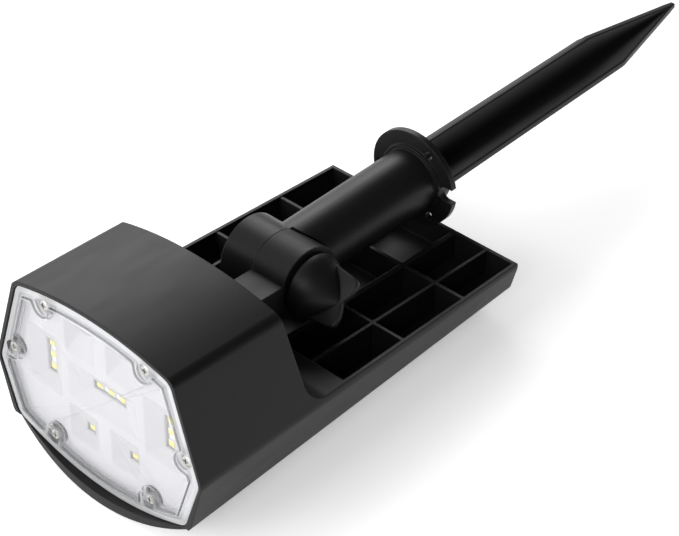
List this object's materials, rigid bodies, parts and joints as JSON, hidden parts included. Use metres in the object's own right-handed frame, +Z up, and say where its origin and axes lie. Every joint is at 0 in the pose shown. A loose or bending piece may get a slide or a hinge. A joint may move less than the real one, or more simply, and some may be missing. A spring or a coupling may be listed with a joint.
{
  "type": "solar garden spotlight",
  "caption": "Folding solar spotlight: six-sided lamp head with clear screwed lens, ribbed tray over a solar panel, wing-knob hinge, flanged pole and cross-finned ground stake.",
  "frame": {"origin": "middle of the folded length and width, on the plane of the solar panel frame that it lies on", "axes": "+X to the wing knob's side, +Y from the lamp head towards the stake's tip, +Z up from the solar panel, away from the ground it lies on"},
  "size_m": [0.1112, 0.351, 0.0842],
  "materials": {
    "shell_plastic": "satin, fine moulded grain",
    "pole_plastic": "satin, smooth moulded",
    "knob_plastic": "satin",
    "lens_clear": "clear polished polycarbonate",
    "seal_rubber": "matt",
    "steel": "bright zinc plated",
    "white_plastic": "white satin",
    "lamp_chip": "white ceramic",
    "phosphor": "yellow resin",
    "circuit_board": "solder mask",
    "lamp_board": "white solder mask",
    "board_parts": "black",
    "solar_resin": "glossy clear resin",
    "solar_cell": "dark blue silicon",
    "panel_backing": "white fibre sheet",
    "adhesive": "tacky",
    "cell_wrap": "shrink wrap",
    "wire_red": "PVC insulation",
    "wire_white": "PVC insulation"
  },
  "bodies": {
    "head": {"back_shell": "shell_plastic", "panel_housing": "shell_plastic", "case_screws": "steel", "lens_cover": "lens_clear", "lens_gasket": "seal_rubber", "lens_screws": "steel", "reflector": "white_plastic", "board_clips": "steel", "led_board": "lamp_board", "led_chips": "lamp_chip", "led_phosphor": "phosphor", "battery_cell": "cell_wrap", "battery_holder": "white_plastic", "battery_contacts": "steel", "control_board": "circuit_board", "board_parts": "board_parts", "board_screws": "steel", "tact_switch": "board_parts", "panel_leads": "wire_red", "lamp_leads": "wire_white", "battery_leads": "wire_red", "panel_resin": "solar_resin", "solar_cells": "solar_cell", "panel_backing": "panel_backing", "panel_adhesive": "adhesive", "friction_washer": "seal_rubber"},
    "pole": {"pole": "pole_plastic", "hex_nut": "steel", "nut_cap": "pole_plastic"},
    "knob": {"wing_knob": "knob_plastic", "knob_stud": "steel", "knob_washer": "steel"},
    "stake": {"ground_stake": "pole_plastic", "stake_seal": "seal_rubber"},
    "button": {"mode_button": "knob_plastic", "switch_plunger": "white_plastic"}
  },
  "joints": [
    {"name": "pole_tilt", "type": "hinge", "parent": "head", "child": "pole", "pos_m": [0, -0.07417, 0.05012], "axis": [1, 0, 0], "range_deg": [0, 95]},
    {"name": "knob_turn", "type": "hinge", "parent": "head", "child": "knob", "pos_m": [0, -0.07417, 0.05012], "axis": [1, 0, 0], "range_deg": [-180, 180]},
    {"name": "stake_pull", "type": "slide", "parent": "pole", "child": "stake", "axis": [0, 0.9999, -0.0157], "range_m": [0, 0.028]},
    {"name": "button_press", "type": "slide", "parent": "head", "child": "button", "axis": [0, 0, 1], "range_m": [0, 0.0008], "stiffness_N_per_m": 2000, "springref_m": -0.0003}
  ]
}
